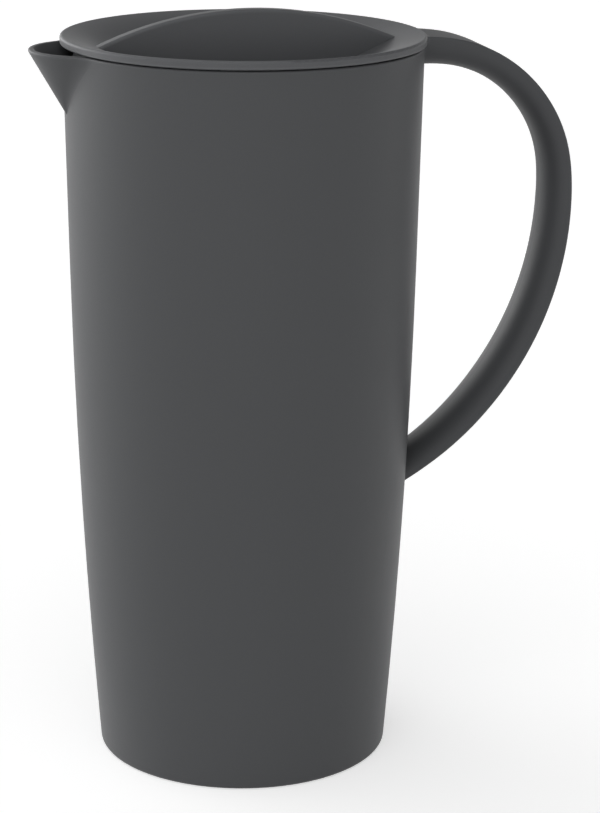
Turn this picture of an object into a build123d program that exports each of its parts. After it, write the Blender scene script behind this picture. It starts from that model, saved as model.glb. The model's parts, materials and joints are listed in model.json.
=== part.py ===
from build123d import *
from math import acos, cos, radians, sin, sqrt, tan
import os

# Serving jug with a beak spout, a strap handle and a round lid that plugs into its mouth.
# Millimetres. The origin is the centre of the flat base on the body's axis, +Z is up,
# the handle lies along +X and the spout along -X.

os.makedirs("parts", exist_ok=True)

overrun = 5.0  # how far a cut runs past the faces that it opens

# Body: a thin moulded shell, straight above the knee and drawn in by one long arc below it
body_height = 242.85
rim_radius = 59.2
straight_height = 71.85
straight_taper = 1.3  # how much narrower the body is at the knee than at the rim
lower_taper = 8.45  # how much narrower it is at the base than at the knee
wall = 2.6
floor_thickness = 2.2
floor_corner_radius = 7.0
base_edge_radius = 1.5
foot_width = 3.0
foot_recess = 1.4
rim_outer_round = 0.6
rim_inner_round = 0.6
outer_round_share = 0.4
inner_round_share = 0.3

# Spout: a beak that grows out of the wall and blends into it on both sides
spout_reach = 12.05
spout_depth = 21.55
spout_tip_radius = 20.6
spout_blend = 14.0
spout_wall = 2.2
spout_sill = 2.0  # how much higher the channel starts than the beak outside
spout_shares = (0.01, 0.25, 0.5, 0.75, 1.0)

# Lid cover: a dished disc with an arched grip fin across it
lid_overhang = 0.8  # how far the lid's edge stands out past the body's rim
lid_edge_height = 2.65
lid_shadow_gap = 0.6
lid_edge_round = 0.8
lid_foot_round = 0.4
lip_round_share = 0.85
foot_round_share = 0.4
cover_wall = 2.2
lip_width = 1.0
lip_angle = 10.3
lip_radius = 52.2
dish_angle = 25.0
dish_slope_length = 6.9
dish_floor_radius = 24.0
seat_gap = 0.3
seat_inset = 1.4
weld_ring_drop = 1.6
fin_rise = 8.1
fin_arc_radius = 121.4
fin_crest_shift = 2.0  # the crest stands this far toward the handle
fin_end_inset = 8.75
fin_thickness = 5.2
fin_draft = 2.0
fin_top_round = 1.1
fin_round_share = 0.4
fin_core_width = 2.0
fin_core_inset = 12.25
fin_core_cap = 3.0

# Lid insert: the plug under the cover, welded to it, with a groove for the seal
insert_clearance = 1.0
insert_wall = 1.8
insert_corner_radius = 1.6
plate_gap = 0.2
weld_gap = 0.1
groove_depth = 2.0
groove_height = 4.4
groove_lift = 2.4
groove_wall = 1.4

# Lid seal: a soft ring with two lips that runs in the groove
seal_gap = 0.3
seal_band = 1.1
seal_lip = 0.9

# Handle: a strap, flat outside and crowned inside, keyed and bonded to the wall at both ends
handle_width = 22.0
handle_rise = 2.3  # how far the handle's top stands above the body's rim
handle_root_depth = 10.35
handle_lead = 8.0
outer_lead_angle = 4.6
inner_lead_angle = 2.0
outer_bow_radius = 51.1
outer_bow_angle = 81.0
handle_bow_depth = 10.7
inner_bow_angle = 86.0
lower_root_height = 90.7
lower_root_depth = 7.7
handle_outer_round = 0.75
crown_flat = 2.0  # the level strip along the middle of the strap's inner side
side_flat_share = 0.14
corner_share = 0.8
strap_shares = (0, 0.03, 0.07, 0.12, 0.18, 0.25, 0.33, 0.41, 0.49, 0.58, 0.68, 0.79, 0.9, 1)
handle_lid_gap = 0.5
bond_gap = 0.1
key_width = 12.0
key_height = 4.0
key_depth = 1.2
key_gap = 0.1
upper_key_drop = 4.6
lower_key_rise = 1.8

# Heights and radii that several pieces share
knee_height = body_height - straight_height
knee_radius = rim_radius - straight_taper
base_radius = knee_radius - lower_taper
mouth_radius = rim_radius - wall
lid_radius = rim_radius + lid_overhang
channel_depth = spout_depth - spout_sill
lid_top = body_height + lid_shadow_gap + lid_edge_height
lip_drop = lip_radius * (cos(radians(lip_angle)) - cos(radians(dish_angle)))
slope_drop = dish_slope_length * sin(radians(dish_angle))
basin_drop = dish_floor_radius * (1 - cos(radians(dish_angle)))
dish_floor = lid_top - lip_drop - slope_drop - basin_drop
fin_top = lid_top + fin_rise
seat_height = body_height + seat_gap
weld_height = seat_height - weld_ring_drop
insert_radius = mouth_radius - insert_clearance
insert_top = weld_height - weld_gap
plate_top = dish_floor - cover_wall - plate_gap
insert_height = groove_lift + groove_height + groove_wall
insert_bottom = min(plate_top - insert_wall, insert_top - insert_height)
groove_radius = insert_radius - groove_depth
groove_bottom = insert_bottom + groove_lift
collar_radius = groove_radius - groove_wall
fin_length = 2 * (lid_radius - fin_end_inset)
fin_core_length = fin_length - 2 * fin_core_inset
handle_top = body_height + handle_rise
inner_bow_radius = outer_bow_radius - handle_bow_depth
upper_key_height = body_height - upper_key_drop
lower_key_height = lower_root_height + lower_root_depth / 2 + lower_key_rise


def outer_radius(height):
    """Radius of the body's outside: on a line above the knee and on its tangent arc below."""
    slope = (rim_radius - knee_radius) / (body_height - knee_height)
    drop = knee_height - height
    if drop <= 0:
        return knee_radius - slope * drop
    shrink = knee_radius - base_radius
    bow = (shrink**2 + knee_height**2) / (2 * (shrink - slope * knee_height))
    return knee_radius - bow + sqrt(bow**2 - drop**2 - 2 * bow * slope * drop)


def body_outline(inset, bottom, top):
    """Right half of the body's outline between two heights, moved in by an inset."""
    knee = (knee_radius - inset, knee_height)
    shoulder = (outer_radius(top) - inset, top)
    upper = Line(shoulder, knee)
    lower = TangentArc(knee, (outer_radius(bottom) - inset, bottom), tangent=upper % 1)
    Polyline(lower @ 1, (0, bottom), (0, top), shoulder)


def beak_height(share, depth):
    """Height of a section of the beak, from its foot at share zero up to the rim at one."""
    return body_height - depth * (1 - share)


def beak_outline(mouth, reach, tip_radius, blend):
    """Plan of the mouth and the beak: two circles, joined by a blend arc on either side."""
    tip_centre = Vector(tip_radius - mouth - reach, 0)
    to_mouth = mouth + blend
    to_tip = tip_radius + blend
    offset_square = tip_centre.length**2 + to_mouth**2 - to_tip**2
    turn = acos(offset_square / (2 * tip_centre.length * to_mouth))
    blend_centre = Vector(-to_mouth * cos(turn), to_mouth * sin(turn))
    root = blend_centre * (mouth / to_mouth)
    shoulder = tip_centre + (blend_centre - tip_centre) * (tip_radius / to_tip)
    middle = blend_centre + ((root + shoulder) / 2 - blend_centre).normalized() * blend
    ThreePointArc((root.X, -root.Y), (mouth, 0), root)
    ThreePointArc(root, middle, shoulder)
    ThreePointArc(shoulder, (-mouth - reach, 0), (shoulder.X, -shoulder.Y))
    ThreePointArc((shoulder.X, -shoulder.Y), (middle.X, -middle.Y), (root.X, -root.Y))


def dish_line(inset):
    """Section of the dish from the lid's crest to the axis, moved down by an inset."""
    start = (
        lid_radius - lip_width - inset * sin(radians(lip_angle)),
        lid_top - inset * cos(radians(lip_angle)),
    )
    heading = (-cos(radians(lip_angle)), -sin(radians(lip_angle)))
    lip = JernArc(start, heading, lip_radius - inset, dish_angle - lip_angle)
    slope = Line(lip @ 1, lip @ 1 + (lip % 1) * dish_slope_length)
    basin = JernArc(slope @ 1, slope % 1, dish_floor_radius + inset, -dish_angle)
    centre = (0, (basin @ 1).Y)
    Line(basin @ 1, centre)
    return start, centre


def strap_line(start_height, lead_angle, bow_radius, bow_angle, end_height):
    """One long side of the handle: a straight lead, the bow and a long tail to the wall."""
    start = (mouth_radius, start_height)
    lead_end = (mouth_radius + handle_lead, start_height - handle_lead * tan(radians(lead_angle)))
    lead = Line(start, lead_end)
    bow = JernArc(lead @ 1, lead % 1, bow_radius, -bow_angle)
    TangentArc(bow @ 1, (base_radius + wall, end_height), tangent=bow % 1)


def strap_outline(thickness):
    """Section of the strap: flat with small rounds outside, an elliptical crown on either side inside."""
    half = handle_width / 2
    side = side_flat_share * thickness
    crown = thickness - side
    corner_round = min(handle_outer_round, corner_share * side)
    corner = half - corner_round
    shoulder = crown_flat / 2
    crown_width = half - shoulder
    Line((-corner, 0), (corner, 0))
    CenterArc((corner, corner_round), corner_round, -90, 90)
    Line((half, corner_round), (half, side))
    EllipticalCenterArc((shoulder, side), crown_width, crown, 0, arc_size=90)
    Line((shoulder, thickness), (-shoulder, thickness))
    EllipticalCenterArc((-shoulder, side), crown_width, crown, 90, arc_size=90)
    Line((-half, side), (-half, corner_round))
    CenterArc((-corner, corner_round), corner_round, 180, 90)


def key_block(height, gap, reach, mode):
    """A flat key across the joint of the handle and the wall, smaller all round by a gap."""
    pocket_floor = outer_radius(height) - key_depth
    with Locations((pocket_floor + gap, 0, height)):
        Box(
            key_depth - gap + reach,
            key_width - 2 * gap,
            key_height - 2 * gap,
            align=(Align.MIN, Align.CENTER, Align.CENTER),
            mode=mode,
        )


# The body's outside and its hollow, each as a full solid
rim_width = min(wall, spout_wall)
with BuildPart() as outside:
    with BuildSketch(Plane.XZ):
        with BuildLine():
            body_outline(0, 0, beak_height(spout_shares[0], spout_depth))
        make_face()
    revolve(axis=Axis.Z)
    for share in spout_shares:
        height = beak_height(share, spout_depth)
        with BuildSketch(Plane.XY.offset(height)):
            with BuildLine():
                beak_outline(
                    outer_radius(height),
                    spout_reach * share,
                    spout_tip_radius * share,
                    spout_blend * share,
                )
            make_face()
    loft()
    fillet(outside.edges().group_by(Axis.Z)[0], base_edge_radius)
    rim_edges = outside.faces().sort_by(Axis.Z)[-1].outer_wire().edges()
    fillet(rim_edges, min(rim_outer_round, outer_round_share * rim_width))

floor_top = foot_recess + floor_thickness
with BuildPart() as hollow:
    with BuildSketch(Plane.XZ):
        with BuildLine():
            body_outline(wall, floor_top, beak_height(spout_shares[0], channel_depth))
        make_face()
    revolve(axis=Axis.Z)
    for share in spout_shares:
        height = beak_height(share, channel_depth)
        with BuildSketch(Plane.XY.offset(height)):
            with BuildLine():
                beak_outline(
                    outer_radius(height) - wall,
                    (spout_reach + wall - spout_wall) * share,
                    (spout_tip_radius - spout_wall) * share,
                    (spout_blend + spout_wall) * share,
                )
            make_face()
    loft()
    fillet(hollow.edges().group_by(Axis.Z)[0], floor_corner_radius)

# Jug body: the shell, with a recessed base and two blind pockets for the handle's keys
with BuildPart() as jug_body:
    add(outside.part)
    add(hollow.part, mode=Mode.SUBTRACT)
    rim_edges = jug_body.faces().sort_by(Axis.Z)[-1].inner_wires()[0].edges()
    fillet(rim_edges, min(rim_inner_round, inner_round_share * rim_width))
    with BuildSketch(Plane.XY):
        Circle(base_radius - base_edge_radius - foot_width)
    extrude(amount=foot_recess, mode=Mode.SUBTRACT)
    key_block(upper_key_height, 0, overrun, Mode.SUBTRACT)
    key_block(lower_key_height, 0, overrun, Mode.SUBTRACT)
jug_body.part.label = "jug_body"
export_step(jug_body.part, "parts/jug_body.step")

# Handle: the strap, cut back to the wall and round the lid's edge, with a key at each root
with BuildLine(Plane.XZ) as outer_side:
    strap_line(handle_top, outer_lead_angle, outer_bow_radius, outer_bow_angle, lower_root_height)
with BuildLine(Plane.XZ) as inner_side:
    inner_top = handle_top - handle_root_depth
    inner_foot = lower_root_height + lower_root_depth
    strap_line(inner_top, inner_lead_angle, inner_bow_radius, inner_bow_angle, inner_foot)
with BuildPart() as handle:
    for share in strap_shares:
        outer_point = outer_side.wire() @ share
        across = inner_side.wire() @ share - outer_point
        section_plane = Plane(outer_point, x_dir=(0, 1, 0), z_dir=Vector(0, 1, 0).cross(across))
        with BuildSketch(section_plane):
            with BuildLine():
                strap_outline(across.length)
            make_face()
    loft()
    with BuildSketch(Plane.XZ):
        with BuildLine():
            body_outline(-bond_gap, 0, body_height)
        make_face()
    revolve(axis=Axis.Z, mode=Mode.SUBTRACT)
    with BuildSketch(Plane.XY.offset(body_height)):
        Circle(lid_radius + handle_lid_gap)
    extrude(amount=lid_edge_height + overrun, mode=Mode.SUBTRACT)
    key_block(upper_key_height, key_gap, key_depth, Mode.ADD)
    key_block(lower_key_height, key_gap, key_depth, Mode.ADD)
handle.part.label = "handle"
export_step(handle.part, "parts/handle.step")

# The grip fin: a drafted blade trimmed by one long arc, with an almost full round on top
fin_foot = dish_floor - cover_wall / 2
with BuildPart() as fin:
    with BuildSketch(Plane.XY.offset(fin_foot)):
        Rectangle(fin_length, fin_thickness + 2 * (fin_top - fin_foot) * tan(radians(fin_draft)))
    extrude(amount=fin_top - fin_foot, taper=fin_draft)
    with BuildSketch(Plane.XZ):
        with Locations((fin_crest_shift, fin_top - fin_arc_radius)):
            Circle(fin_arc_radius)
    extrude(amount=lid_radius, both=True, mode=Mode.INTERSECT)
    with BuildSketch(Plane.XZ):
        with BuildLine():
            side_top, centre_top = dish_line(cover_wall / 2)
            Polyline(side_top, (side_top[0], fin_foot - overrun), (0, fin_foot - overrun), centre_top)
        make_face()
    revolve(axis=Axis.Z, mode=Mode.SUBTRACT)
    crest = fin.faces().filter_by(GeomType.CYLINDER).sort_by(Axis.Z)[-1]
    long_edges = crest.edges().sort_by(SortBy.LENGTH)[-2:]
    fillet(long_edges, min(fin_top_round, fin_round_share * fin_thickness))

# Lid cover: the dish and its flange in one revolved section, the fin, and the fin's core
lip_fall = (lid_radius - lip_width - collar_radius) * tan(radians(lip_angle))
collar_top = lid_top - lip_fall - cover_wall / 2
edge_round = min(lid_edge_round, lip_round_share * lip_width)
foot_round = min(lid_foot_round, foot_round_share * (lid_edge_height - edge_round))
with BuildPart() as lid_cover:
    with BuildSketch(Plane.XZ):
        with BuildLine():
            crest_top, centre_top = dish_line(0)
            crest_under, centre_under = dish_line(cover_wall)
            Line(crest_top, crest_under)
            Line(centre_top, centre_under)
        make_face()
        with BuildLine():
            Polyline(
                (lid_radius, lid_top),
                crest_top,
                (collar_radius, collar_top),
                (collar_radius, weld_height),
                (insert_radius, weld_height),
                (insert_radius, seat_height),
                (lid_radius - seat_inset, seat_height),
                (lid_radius - seat_inset, body_height + lid_shadow_gap),
                (lid_radius, body_height + lid_shadow_gap),
                close=True,
            )
        make_face()
    revolve(axis=Axis.Z)
    level_circles = lid_cover.edges().filter_by(GeomType.CIRCLE).filter_by(Plane.XY)
    rims = level_circles.group_by(SortBy.RADIUS)[-1].sort_by(Axis.Z)
    fillet(rims[-1], edge_round)
    fillet(rims[0], foot_round)
    add(fin.part)
    with BuildSketch(Plane.XZ):
        with Locations((fin_crest_shift, fin_top - fin_arc_radius)):
            Circle(fin_arc_radius - fin_core_cap)
        with Locations((0, dish_floor)):
            Rectangle(fin_core_length, 2 * fin_arc_radius, mode=Mode.INTERSECT)
        with Locations((0, plate_top)):
            Rectangle(fin_core_length, fin_arc_radius, align=(Align.CENTER, Align.MIN), mode=Mode.INTERSECT)
    extrude(amount=fin_core_width / 2, both=True, mode=Mode.SUBTRACT)
lid_cover.part.label = "lid_cover"
export_step(lid_cover.part, "parts/lid_cover.step")

# Lid insert: a plate with a grooved collar, revolved in one section
with BuildPart() as lid_insert:
    with BuildSketch(Plane.XZ):
        with BuildLine():
            Polyline(
                (0, insert_bottom),
                (insert_radius, insert_bottom),
                (insert_radius, groove_bottom),
                (groove_radius, groove_bottom),
                (groove_radius, groove_bottom + groove_height),
                (insert_radius, groove_bottom + groove_height),
                (insert_radius, insert_top),
                (collar_radius, insert_top),
                (collar_radius, plate_top),
                (0, plate_top),
                close=True,
            )
        make_face()
    revolve(axis=Axis.Z)
    fillet(lid_insert.edges().group_by(Axis.Z)[0], min(insert_corner_radius, groove_lift / 2))
lid_insert.part.label = "lid_insert"
export_step(lid_insert.part, "parts/lid_insert.step")

# Lid seal: a soft band in the groove with two lips that reach for the wall
seal_inner = groove_radius + seal_gap
seal_outer = seal_inner + seal_band
seal_bottom = groove_bottom + seal_gap
seal_top = groove_bottom + groove_height - seal_gap
seal_reach = outer_radius(groove_bottom) - wall - seal_gap
with BuildPart() as lid_seal:
    with BuildSketch(Plane.XZ):
        with BuildLine():
            Polyline(
                (seal_inner, seal_bottom),
                (seal_outer, seal_bottom),
                (seal_reach, seal_bottom + seal_lip / 2),
                (seal_reach, seal_bottom + seal_lip),
                (seal_outer, seal_bottom + seal_lip * 3 / 2),
                (seal_outer, seal_top - seal_lip * 3 / 2),
                (seal_reach, seal_top - seal_lip),
                (seal_reach, seal_top - seal_lip / 2),
                (seal_outer, seal_top),
                (seal_inner, seal_top),
                close=True,
            )
        make_face()
    revolve(axis=Axis.Z)
lid_seal.part.label = "lid_seal"
export_step(lid_seal.part, "parts/lid_seal.step")
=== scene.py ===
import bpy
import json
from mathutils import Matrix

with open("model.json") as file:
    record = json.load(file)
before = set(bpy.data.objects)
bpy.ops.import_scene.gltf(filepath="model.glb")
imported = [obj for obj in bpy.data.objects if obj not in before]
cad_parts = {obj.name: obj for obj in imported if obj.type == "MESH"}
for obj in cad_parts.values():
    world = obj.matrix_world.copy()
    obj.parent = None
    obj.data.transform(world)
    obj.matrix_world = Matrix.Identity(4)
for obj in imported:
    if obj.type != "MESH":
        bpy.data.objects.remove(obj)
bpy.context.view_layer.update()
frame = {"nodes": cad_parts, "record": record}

import json
import math

import bpy
from mathutils import Matrix, Vector

# Camera: the photograph's viewpoint, in metres and radians, turned round the jug's axis
CAMERA_DISTANCE = 0.86005
CAMERA_HEIGHT = 0.36945
CAMERA_PITCH = math.radians(16.218)
CAMERA_ROLL = math.radians(0.465)
CAMERA_YAW = math.radians(1.289)
CAMERA_TURN = math.radians(-13.0)
FOCAL_PX = 2633.63
PHOTO_HEIGHT_PX = 813
SENSOR_MM = 36.0
CAMERA_NEAR = 0.01
CAMERA_FAR = 50.0

# Soft round lights of the world: azimuth from +X toward +Y in degrees, elevation in degrees, strength
SOFT_LIGHTS = {
    "left": (200, 8, 0.24),
    "front_left": (230, 10, 0.48),
    "back_left": (150, 8, 2.9),
    "back": (120, 8, 2.4),
    "back_right": (90, 8, 0.3),
    "front": (260, 10, 0.56),
    "front_right": (310, 8, 0.25),
    "overhead": (250, 62, 1.35),
}
LIGHT_FALLOFF = 11.5
AMBIENT_STRENGTH = 0.2

# White walls all round the world, low down, that fade out between two heights (sine of the elevation)
WALL_STRENGTH = 0.74
WALL_HEIGHTS = (0.11, 0.22)

# Floor: pale, with a light of its own that only the camera, gloss and glass see
FLOOR_SIZE = 8.0
FLOOR_COLOUR = (0.78, 0.78, 0.78, 1)
FLOOR_ROUGHNESS = 0.9
FLOOR_OWN_LIGHT = 0.52

# Noises over the pieces: repeats per metre, detail, roughness. Most of each lies within the spread
CLOUDS = (22.0, 3.0, 0.5)
SPECKLE = (2600.0, 1.0, 0.5)
GRAIN = (1700.0, 2.0, 0.6)
RIPPLES = (55.0, 1.0, 0.5)
BLOOM = (140.0, 4.0, 0.6)
NOISE_SPREAD = (0.3, 0.7)

# Moulded plastic: depths and the reach of the rubbed edges and of their painted highlight are in metres
CLOUD_CONTRAST = 0.035
SPECKLE_CONTRAST = 0.05
GRAIN_DEPTH = 0.00003
GRAIN_STRENGTH = 0.25
RIPPLE_DEPTH = 0.00012
RIPPLE_STRENGTH = 0.12
SPECULAR_LEVEL = 0.3
ROUGHNESS_SPREAD = 0.04
ROUGHNESS_FROM_CLOUDS = 0.6
ROUGHNESS_FROM_GRAIN = 0.4
WEAR_AND_HIGHLIGHT_REACH = 0.0010
WEAR_AND_HIGHLIGHT_SAMPLES = 8
WEAR_AND_HIGHLIGHT_GAIN = 3.2
WEAR_AND_HIGHLIGHT_START = 0.15
WEAR_AND_HIGHLIGHT_LEAST_SHARE = 0.3
# Painted highlight: the outer edges are drawn this many times paler than the colour
EDGE_HIGHLIGHT_LIGHTER = 1.45
WEAR_SMOOTHER = 0.1

# Plastic pieces: material name, share of the record's colour, roughness, coarseness of the grain
PLASTIC_PIECES = {
    "jug_body": ("body_plastic", 1.0, 0.50, 1.0),
    # Painted light: the handle's and the lid cover's shares above 1 draw their colour lighter to make up
    # for light that falls on them less
    "handle": ("handle_plastic_painted_lighter", 1.06, 0.53, 1.0),
    "lid_cover": ("lid_plastic_painted_lighter", 1.3, 0.48, 1.0),
    "lid_insert": ("insert_plastic", 1.0, 0.56, 1.4),
}

# Seal rubber: the scale of the rings gives one about every 0.6 mm, and their depth is in metres
RUBBER_ROUGHNESS = 0.62
RUBBER_DARKER = 0.92
RUBBER_BLOOM = 1.35
RUBBER_BLOOM_SPREAD = (0.45, 0.75)
RUBBER_RING_SCALE = 500.0
RUBBER_RING_DISTORTION = 1.5
RUBBER_RING_DETAIL = 2.0
RUBBER_RING_DEPTH = 0.00004
RUBBER_RING_STRENGTH = 0.4

WHITE = (1, 1, 1, 1)


def make_camera():
    """Camera at the photograph's place: pitch, roll and yaw, then a turn about the jug's axis."""
    forward = Vector((
        math.sin(CAMERA_YAW) * math.cos(CAMERA_PITCH),
        math.cos(CAMERA_YAW) * math.cos(CAMERA_PITCH),
        -math.sin(CAMERA_PITCH),
    ))
    level = Vector((math.cos(CAMERA_YAW), -math.sin(CAMERA_YAW), 0))
    above = level.cross(forward)
    right = math.cos(CAMERA_ROLL) * level + math.sin(CAMERA_ROLL) * above
    up = -math.sin(CAMERA_ROLL) * level + math.cos(CAMERA_ROLL) * above
    place = Matrix.Identity(4)
    for row in range(3):
        place[row][0] = right[row]
        place[row][1] = up[row]
        place[row][2] = -forward[row]
    place[1][3] = -CAMERA_DISTANCE
    place[2][3] = CAMERA_HEIGHT
    data = bpy.data.cameras.new("camera")
    data.sensor_width = SENSOR_MM
    data.lens = FOCAL_PX * SENSOR_MM / PHOTO_HEIGHT_PX
    data.clip_start = CAMERA_NEAR
    data.clip_end = CAMERA_FAR
    camera = bpy.data.objects.new("camera", data)
    bpy.context.scene.collection.objects.link(camera)
    camera.matrix_world = Matrix.Rotation(CAMERA_TURN, 4, "Z") @ place
    bpy.context.scene.camera = camera


def add_node(tree, kind, values=(), **settings):
    """A new shader node; each value is a number or colour for a socket, or a socket to link to it."""
    new = tree.nodes.new("ShaderNode" + kind)
    for name, setting in settings.items():
        setattr(new, name, setting)
    for name, value in dict(values).items():
        if isinstance(value, bpy.types.NodeSocket):
            tree.links.new(value, new.inputs[name])
        else:
            new.inputs[name].default_value = value
    return new


def calculate(tree, operation, first, second=0.0, third=0.0, clamp=False):
    """Result of one Math node; its values are numbers or sockets."""
    values = {0: first, 1: second, 2: third}
    return add_node(tree, "Math", values, operation=operation, use_clamp=clamp).outputs[0]


def remapped(tree, value, before, after=(0.0, 1.0)):
    """The value moved from one range into another and held inside it."""
    values = {
        "Value": value,
        "From Min": before[0],
        "From Max": before[1],
        "To Min": after[0],
        "To Max": after[1],
    }
    return add_node(tree, "MapRange", values).outputs["Result"]


def scaled(colour, share):
    """The colour made lighter or darker by a share, as an opaque socket value."""
    return (colour[0] * share, colour[1] * share, colour[2] * share, 1)


def mixed(tree, share, first, second, blend="MIX"):
    """The first colour at share 0, and at share 1 the second one or the blend of both."""
    values = {"Fac": share, "Color1": first, "Color2": second}
    return add_node(tree, "MixRGB", values, blend_type=blend).outputs["Color"]


def noise(tree, place, pattern):
    """Noise from 0 to 1 over the object, with its middle at about 0.5."""
    scale, detail, roughness = pattern
    values = {"Vector": place, "Scale": scale, "Detail": detail, "Roughness": roughness}
    return add_node(tree, "TexNoise", values).outputs["Fac"]


def relief(tree, height, strength, depth, below=None):
    """Direction of the surface with a relief on it, laid over the one below where that is given."""
    values = {"Strength": strength, "Distance": depth, "Height": height}
    if below is not None:
        values["Normal"] = below
    return add_node(tree, "Bump", values).outputs["Normal"]


def new_material(name):
    """A material with its node tree and its shader."""
    material = bpy.data.materials.new(name)
    material.use_nodes = True
    tree = material.node_tree
    return material, tree, tree.nodes["Principled BSDF"]


def edge_wear_and_highlight(tree, clouds):
    """0 on open surfaces, up to 1 on outer edges, broken up by the clouds: edges that hands and cloths
    rub smoother, and that are also drawn paler as a painted highlight.
    """
    settings = {"samples": WEAR_AND_HIGHLIGHT_SAMPLES, "inside": True, "only_local": True}
    depth = add_node(tree, "AmbientOcclusion", {"Distance": WEAR_AND_HIGHLIGHT_REACH}, **settings).outputs["AO"]
    thin = calculate(tree, "SUBTRACT", 1.0, depth)
    edges = calculate(tree, "MULTIPLY_ADD", thin, WEAR_AND_HIGHLIGHT_GAIN, -WEAR_AND_HIGHLIGHT_START, clamp=True)
    uneven = calculate(tree, "ADD", clouds, WEAR_AND_HIGHLIGHT_LEAST_SHARE)
    return calculate(tree, "MULTIPLY", edges, uneven, clamp=True)


def plastic_colour(tree, colour, place, clouds, wear_and_highlight):
    """The colour with faint clouds and speckle, and drawn paler on the outer edges as a painted
    highlight.
    """
    speckle = noise(tree, place, SPECKLE)
    cloudy = mixed(tree, clouds, scaled(colour, 1 - CLOUD_CONTRAST), scaled(colour, 1 + CLOUD_CONTRAST))
    dots = mixed(tree, speckle, scaled(WHITE, 1 - SPECKLE_CONTRAST), scaled(WHITE, 1 + SPECKLE_CONTRAST))
    tone = mixed(tree, 1.0, cloudy, dots, blend="MULTIPLY")
    # Painted highlight: the outer edges drawn paler, as if they caught the light
    return mixed(tree, wear_and_highlight, tone, scaled(colour, EDGE_HIGHLIGHT_LIGHTER))


def plastic_roughness(tree, roughness, clouds, grain, wear_and_highlight):
    """The roughness, uneven with the clouds and the grain, and less where it is worn."""
    from_clouds = calculate(tree, "MULTIPLY", clouds, ROUGHNESS_FROM_CLOUDS)
    from_grain = calculate(tree, "MULTIPLY", grain, ROUGHNESS_FROM_GRAIN)
    both = calculate(tree, "ADD", from_clouds, from_grain)
    limits = (roughness - ROUGHNESS_SPREAD, roughness + ROUGHNESS_SPREAD)
    uneven = remapped(tree, both, NOISE_SPREAD, limits)
    return calculate(tree, "SUBTRACT", uneven, calculate(tree, "MULTIPLY", wear_and_highlight, WEAR_SMOOTHER))


def moulded_plastic(name, colour, roughness, coarseness):
    """Fine matt moulded plastic: clouds, speckle, uneven gloss, rubbed edges that are smoother and carry
    a painted highlight, ripples and grain.
    """
    material, tree, shader = new_material(name)
    place = add_node(tree, "TexCoord").outputs["Object"]
    clouds = noise(tree, place, CLOUDS)
    grain = noise(tree, place, GRAIN)
    # One edge mask serves both the smoother rubbed edges and the painted highlight on them
    wear_and_highlight = edge_wear_and_highlight(tree, clouds)
    tree.links.new(plastic_colour(tree, colour, place, clouds, wear_and_highlight), shader.inputs["Base Color"])
    tree.links.new(plastic_roughness(tree, roughness, clouds, grain, wear_and_highlight), shader.inputs["Roughness"])
    waves = relief(tree, noise(tree, place, RIPPLES), RIPPLE_STRENGTH, RIPPLE_DEPTH)
    surface = relief(tree, grain, GRAIN_STRENGTH * coarseness, GRAIN_DEPTH, waves)
    tree.links.new(surface, shader.inputs["Normal"])
    shader.inputs["Specular IOR Level"].default_value = SPECULAR_LEVEL
    return material


def seal_rubber(name, colour):
    """Dark silicone rubber: fine rings left by the mould, a pale bloom in patches and a soft gloss."""
    material, tree, shader = new_material(name)
    place = add_node(tree, "TexCoord").outputs["Object"]
    bloom = noise(tree, place, BLOOM)
    patches = remapped(tree, bloom, RUBBER_BLOOM_SPREAD)
    tone = mixed(tree, patches, scaled(colour, RUBBER_DARKER), scaled(colour, RUBBER_BLOOM))
    tree.links.new(tone, shader.inputs["Base Color"])
    limits = (RUBBER_ROUGHNESS - ROUGHNESS_SPREAD, RUBBER_ROUGHNESS + ROUGHNESS_SPREAD)
    tree.links.new(remapped(tree, bloom, NOISE_SPREAD, limits), shader.inputs["Roughness"])
    rings = add_node(tree, "TexWave", {
        "Vector": place,
        "Scale": RUBBER_RING_SCALE,
        "Distortion": RUBBER_RING_DISTORTION,
        "Detail": RUBBER_RING_DETAIL,
    }, wave_type="BANDS", bands_direction="Z").outputs["Fac"]
    surface = relief(tree, rings, RUBBER_RING_STRENGTH, RUBBER_RING_DEPTH)
    tree.links.new(surface, shader.inputs["Normal"])
    return material


def dress(node, material):
    """Gives a CAD piece its material."""
    slots = frame["nodes"][node].data.materials
    slots.clear()
    slots.append(material)


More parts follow.
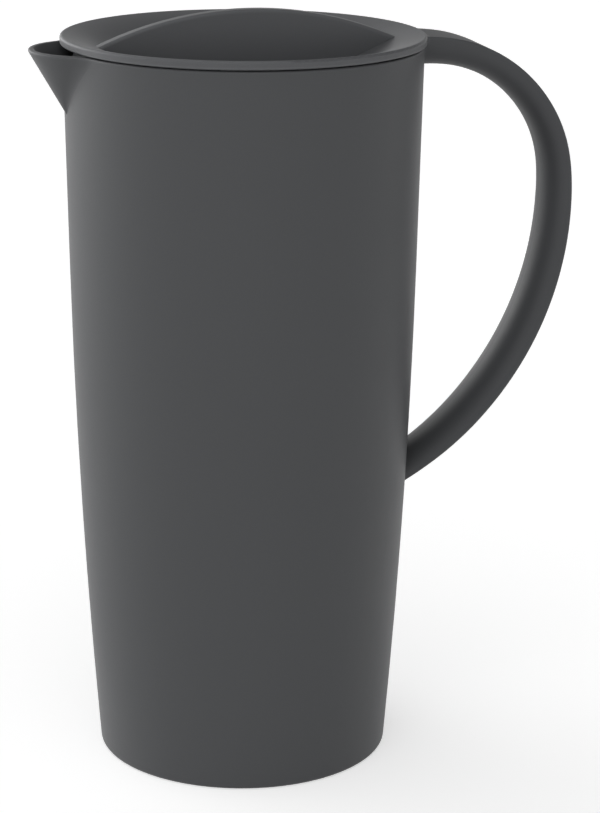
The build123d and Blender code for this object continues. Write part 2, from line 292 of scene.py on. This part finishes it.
def floor_paint():
    """Pale matt paint with a light of its own that only the camera, gloss and glass see."""
    material, tree, shader = new_material("floor")
    shader.inputs["Base Color"].default_value = FLOOR_COLOUR
    shader.inputs["Roughness"].default_value = FLOOR_ROUGHNESS
    path = add_node(tree, "LightPath").outputs
    seen = calculate(tree, "MAXIMUM", path["Is Camera Ray"], path["Is Glossy Ray"])
    seen = calculate(tree, "MAXIMUM", seen, path["Is Transmission Ray"])
    strength = calculate(tree, "MULTIPLY", seen, FLOOR_OWN_LIGHT)
    glow = add_node(tree, "Emission", {"Strength": strength}).outputs["Emission"]
    both = add_node(tree, "AddShader", {0: shader.outputs["BSDF"], 1: glow}).outputs["Shader"]
    tree.links.new(both, tree.nodes["Material Output"].inputs["Surface"])
    return material


def make_floor():
    """Plain pale floor that keeps the jug's shadow."""
    bpy.ops.mesh.primitive_plane_add(size=FLOOR_SIZE)
    floor = bpy.context.object
    floor.name = "floor"
    floor.data.materials.append(floor_paint())


def soft_light(tree, toward, azimuth, elevation, strength):
    """Brightness of one round light of the world, which fades smoothly away from its middle."""
    around = math.radians(azimuth)
    up = math.radians(elevation)
    middle = (math.cos(up) * math.cos(around), math.cos(up) * math.sin(around), math.sin(up))
    near = add_node(tree, "VectorMath", {0: toward, 1: middle}, operation="DOT_PRODUCT").outputs["Value"]
    away = calculate(tree, "MULTIPLY", calculate(tree, "SUBTRACT", near, 1.0), LIGHT_FALLOFF)
    return calculate(tree, "MULTIPLY", calculate(tree, "EXPONENT", away), strength)


def make_light():
    """Soft studio light: a dim surround, white walls low all round and a few soft round lights."""
    world = bpy.data.worlds.new("studio")
    world.use_nodes = True
    tree = world.node_tree
    toward = add_node(tree, "TexCoord").outputs["Generated"]
    height = add_node(tree, "SeparateXYZ", {"Vector": toward}).outputs["Z"]
    total = remapped(tree, height, WALL_HEIGHTS, (AMBIENT_STRENGTH + WALL_STRENGTH, AMBIENT_STRENGTH))
    for azimuth, elevation, strength in SOFT_LIGHTS.values():
        total = calculate(tree, "ADD", total, soft_light(tree, toward, azimuth, elevation, strength))
    background = tree.nodes["Background"]
    background.inputs["Color"].default_value = WHITE
    tree.links.new(total, background.inputs["Strength"])
    bpy.context.scene.world = world


make_camera()
make_floor()
make_light()
bpy.context.scene.view_settings.view_transform = "Standard"

colours = {entry["slot"]: entry["base_color"] for entry in frame["record"]["materials"]}
for node, (name, share, roughness, coarseness) in PLASTIC_PIECES.items():
    dress(node, moulded_plastic(name, scaled(colours[node], share), roughness, coarseness))
dress("lid_seal", seal_rubber("seal_rubber", colours["lid_seal"]))
